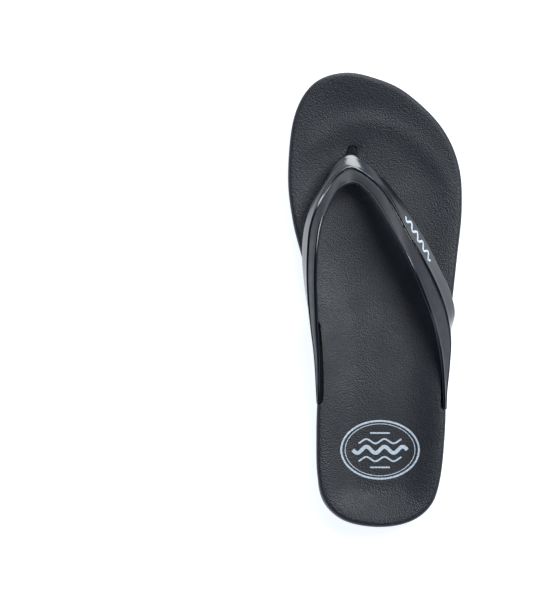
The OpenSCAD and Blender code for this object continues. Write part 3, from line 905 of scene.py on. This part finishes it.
def build_strap():
    across, lift = (np.array(v, float) for v in zip(*SECTION))
    rings = []
    for station in range(len(band)):
        fade = 1 - 0.75 * rise(216, 240, station) * (across > 1) * (lift > -1)
        thin = wing_taper(station) * (lift < -1)
        ring = on_band(np.full(len(across), float(station)), across, lift * fade * (1 - thin))
        from_end = min(station, len(band) - 1 - station)
        if from_end < len(END_ROUNDING):
            middle = ring.mean(axis=0)
            ring = middle + (ring - middle) * END_ROUNDING[from_end]
        rings.append(ring)
    count = len(across)
    faces = [f for s in range(len(rings) - 1) for f in wall(s * count, (s + 1) * count, count)]
    faces += [tuple(range(count)), tuple(range((len(rings) - 1) * count, len(rings) * count))]
    piece = make_piece("strap_v", np.vstack(rings), faces, 50)
    piece.data.materials.append(polished_vinyl)
    piece.data.materials.append(blasted_vinyl)
    return piece


strap = build_strap()
print("strap:", (np.array(strap.dimensions) / MM).round(1), "mm")

# %% [markdown]
# The two finishes meet along the crease. A face belongs to the polished half if it faces out and lies in
# front of the crease, which is easiest to tell from the nearest point of the crease itself. The rounded rear
# edge is polished too, and draws a thin line of light.

# %% Finish the strap
REAR_POLISH = 1.15


def mark_finishes(piece):
    """Gives each face of the strap the polished or the blasted finish."""
    middles = np.array([face.center for face in piece.data.polygons]) / MM
    facing = np.array([face.normal for face in piece.data.polygons])
    crease = band[:, 1]
    nearest = np.argmin(((middles[:, None, :] - crease[None, :, :]) ** 2).sum(axis=2), axis=1)
    across = ((middles - crease[nearest]) * band_width[nearest]).sum(axis=1)
    outward = (facing * band_out[nearest]).sum(axis=1)
    forward = (facing * -band_width[nearest]).sum(axis=1)
    past_edge = ((middles - band[nearest, 2]) * band_width[nearest]).sum(axis=1)
    front_half = (across < 0.1) & ((outward > 0.15) | (forward > 0.5))
    polished = front_half | (past_edge > -REAR_POLISH)
    piece.data.polygons.foreach_set("material_index", np.where(polished, 0, 1))
    piece.data.update()
    return polished.sum()


for peg_name in PEGS:
    combine(strap, peg_shape(peg_name), "UNION", 50)
combine(strap, post_shape(), "UNION", 50)
print("polished faces:", mark_finishes(strap))
dress(strap, "strap_vinyl", None, "strap")

# %% [markdown]
# ## Printed marks
# Pale ink is screen printed on the heel of the footbed and on the outer band of the strap. The marks here
# are plain ones: an oval with waves in it, and a ripple. Ink is a film, so each line is a thin ribbon that
# lies on the surface it is printed on, a few hundredths of a millimetre proud.

# %% Ink and ribbons
INK_LIFT = 0.07
INK_DEPTH = 0.25


def printed_ink():
    material, tree, shader, place = start_plastic("ink_screen_printed", 0.55)
    wear = add_node(tree, "ShaderNodeTexNoise", {"Scale": 1300.0, "Detail": 3.0}, {"Vector": place})
    mix = add_node(tree, "ShaderNodeMix", {"data_type": "RGBA", 6: linear("#8f979f"), 7: linear("#b9c3cb")},
                   {0: spread(tree, wear.outputs["Fac"], 0.35, 0.55, 0, 1)})
    bump = add_node(tree, "ShaderNodeBump", {"Strength": 0.4, "Distance": 0.05 * MM},
                    {"Height": wear.outputs["Fac"]})
    tree.links.new(mix.outputs[2], shader.inputs["Base Color"])
    tree.links.new(bump.outputs[0], shader.inputs["Normal"])
    return material


def ribbon(line, width, closed=False):
    """The plan of a ribbon: points across it at each place along the line."""
    line = np.array(line, float)
    along = np.roll(line, -1, 0) - np.roll(line, 1, 0) if closed else np.gradient(line, axis=0)
    along /= np.linalg.norm(along, axis=1)[:, None]
    side = np.column_stack([-along[:, 1], along[:, 0]])
    return np.stack([line + side * width * share for share in (-0.5, -0.17, 0.17, 0.5)], axis=1)


def film(name, ribbons, surface, piece):
    """A film of ink: ribbons put near a surface by one rule, then laid on the nearest part of the piece."""

    def laid(plan, lift):
        places = []
        for point in surface(plan):
            _, place, normal, _ = piece.closest_point_on_mesh(Vector(point * MM))
            places.append(np.array(place) / MM + np.array(normal) * lift)
        return np.array(places)

    points, faces = [], []
    for plan, closed in ribbons:
        rows, width = plan.shape[:2]
        top = laid(plan.reshape(-1, 2), INK_LIFT).reshape(rows, width, 3)
        low = laid(plan[:, ::-1].reshape(-1, 2), INK_LIFT - INK_DEPTH).reshape(rows, width, 3)
        section = np.concatenate([top, low], axis=1)
        start, count = len(points), 2 * width
        points += section.reshape(-1, 3).tolist()
        for r in range(rows if closed else rows - 1):
            faces += wall(start + r * count, start + (r + 1) % rows * count, count)
        if not closed:
            last = start + (rows - 1) * count
            faces += [tuple(range(start, start + count)), tuple(range(last, last + count))]
    return make_piece(name, np.array(points), faces, 50)


ink = printed_ink()
print("ink film:", INK_LIFT, "mm proud")

# %% Print the heel
HEEL_MARK = (2.7, -91.0)
HEEL_MARK_SIZE = (47.0, 35.0)


def heel_mark():
    """An oval ring with three waves and a short bar in it."""
    turn = np.linspace(0, 2 * np.pi, 121)[:-1]
    ribbons = []
    for scale, width in ((1, 1.1), (0.9, 0.45)):
        oval = np.column_stack([np.cos(turn), np.sin(turn)]) * np.array(HEEL_MARK_SIZE) / 2 * scale
        ribbons.append((ribbon(oval + HEEL_MARK, width, closed=True), True))
    for y, half, height, width in ((5.2, 13, 1.3, 1.0), (0, 16.5, 1.9, 2.2), (-5.6, 13, 1.3, 1.0)):
        x = np.linspace(-half, half, 73)
        wave = np.column_stack([x, y + height * np.sin(x / 5.5 * np.pi)])
        ribbons.append((ribbon(wave + HEEL_MARK, width), False))
    for y, half in ((10.2, 6), (-10.6, 6)):
        x = np.linspace(-half, half, 13)
        ribbons.append((ribbon(np.column_stack([x, np.full(13, y)]) + HEEL_MARK, 0.9), False))
    return ribbons


def on_footbed(plan):
    return at_height(plan, footbed_height(plan))


heel_print = film("print_heel_waves", heel_mark(), on_footbed, footbed)
dress(heel_print, "print_ink", ink)

# %% Print the strap
# The ripple runs along the polished half of the outer band: stations along the strap, and place across it
RIPPLE_FROM = 186.0
RIPPLE_TO = 209.0
RIPPLE_ACROSS = 0.52
RIPPLE_HALF_WAVES = 9
RIPPLE_HEIGHT = 2.0
RIPPLE_WIDTH = 1.35
# How long one station of the strap is there, and how wide its polished half, in mm
STATION_LENGTH = 1.3
POLISHED_WIDTH = 13.0


def on_polished_half(plan):
    """Plan points are mm along the strap and mm behind the ripple's line."""
    station = plan[:, 0] / STATION_LENGTH
    across = RIPPLE_ACROSS + plan[:, 1] / POLISHED_WIDTH
    return on_band(station, across, 0.3)


def ripple():
    x = np.linspace(RIPPLE_FROM * STATION_LENGTH, RIPPLE_TO * STATION_LENGTH, 121)
    wave = RIPPLE_HEIGHT * np.sin((x - x[0]) / (x[-1] - x[0]) * RIPPLE_HALF_WAVES * np.pi)
    return [(ribbon(np.column_stack([x, wave]), RIPPLE_WIDTH), False)]


strap_print = film("print_strap_ripple", ripple(), on_polished_half, strap)
dress(strap_print, "print_ink", ink)

# %% [markdown]
# ## The studio
# The sandal lies on a white sheet, as in a catalogue picture. A dark glossy object shows what is round it, so
# the sheet and the light are what give the vinyl its shape. The sheet glows by itself, as if it were lit from
# below, which keeps it clean white right up to the sole, with only a faint shadow.

# %% Floor
def white_sheet():
    """White paper seen from above. From below it lets light and sight through, as glass would."""
    material = bpy.data.materials.new("paper_white_sheet")
    material.use_nodes = True
    tree = material.node_tree
    tree.nodes.clear()
    fibres = add_node(tree, "ShaderNodeTexNoise", {"Scale": 900.0, "Detail": 3.0})
    bump = add_node(tree, "ShaderNodeBump", {"Strength": 0.1, "Distance": 0.1 * MM},
                    {"Height": fibres.outputs["Fac"]})
    paper = add_node(tree, "ShaderNodeBsdfPrincipled",
                     {"Base Color": (0.45, 0.45, 0.45, 1), "Roughness": 0.9, "Specular IOR Level": 0.0,
                      "Emission Color": (0.97, 1.01, 1.08, 1), "Emission Strength": 0.86},
                     {"Normal": bump.outputs[0]})
    side = add_node(tree, "ShaderNodeNewGeometry").outputs["Backfacing"]
    clear = add_node(tree, "ShaderNodeBsdfTransparent")
    shader = add_node(tree, "ShaderNodeMixShader", links={0: side, 1: paper.outputs[0], 2: clear.outputs[0]})
    add_node(tree, "ShaderNodeOutputMaterial", links={"Surface": shader.outputs[0]})
    return material


def build_floor():
    mesh = bpy.data.meshes.new("sheet")
    mesh.from_pydata([(-3, -3, 0), (3, -3, 0), (3, 3, 0), (-3, 3, 0)], [], [(0, 1, 2, 3)])
    mesh.materials.append(white_sheet())
    floor = bpy.data.objects.new("sheet", mesh)
    bpy.context.scene.collection.objects.link(floor)


build_floor()

# %% [markdown]
# The dome is bright near the horizon and dark overhead. Faces that look straight up then stay dark, and every
# rounded edge, which looks sideways somewhere on its curve, draws a thin bright line. One soft box stands
# high to the upper right, so the strap throws its shadow to the lower left on the footbed. A second one
# stands low beyond the toes, where the front of the strap mirrors it as a bright patch.

# %% Light
HORIZON = (0.84, 1.0, 1.28, 1.0)
ZENITH = (0.09, 0.11, 0.16, 1.0)


def build_dome():
    world = bpy.data.worlds.new("dome")
    world.use_nodes = True
    tree = world.node_tree
    direction = add_node(tree, "ShaderNodeTexCoord").outputs["Generated"]
    height = add_node(tree, "ShaderNodeSeparateXYZ", links={0: direction}).outputs["Z"]
    colour = add_node(tree, "ShaderNodeMix", {"data_type": "RGBA", 6: HORIZON, 7: ZENITH},
                      {0: spread(tree, height, 0.15, 0.7, 0, 1)})
    tree.links.new(colour.outputs[2], tree.nodes["Background"].inputs["Color"])
    bpy.context.scene.world = world


def soft_box(name, place, aim, size, watts):
    """A square lamp that points from its place at its aim."""
    data = bpy.data.lights.new(name, "AREA")
    data.shape = "RECTANGLE"
    data.size, data.size_y = size
    data.energy = watts
    data.color = (0.93, 0.97, 1.0)
    lamp = bpy.data.objects.new(name, data)
    lamp.location = place
    lamp.rotation_euler = (Vector(aim) - Vector(place)).to_track_quat("-Z", "Y").to_euler()
    bpy.context.scene.collection.objects.link(lamp)


build_dome()
soft_box("key", (0.47, 0.55, 1.28), (0, 0, 0), (0.7, 0.7), 24)
soft_box("toe_side_light", (-0.1, 1.3, 0.34), (-0.014, 0.08, 0.035), (0.75, 0.4), 13)
bpy.context.scene.view_settings.view_transform = "Standard"
print("lamps:", len(bpy.data.lights))
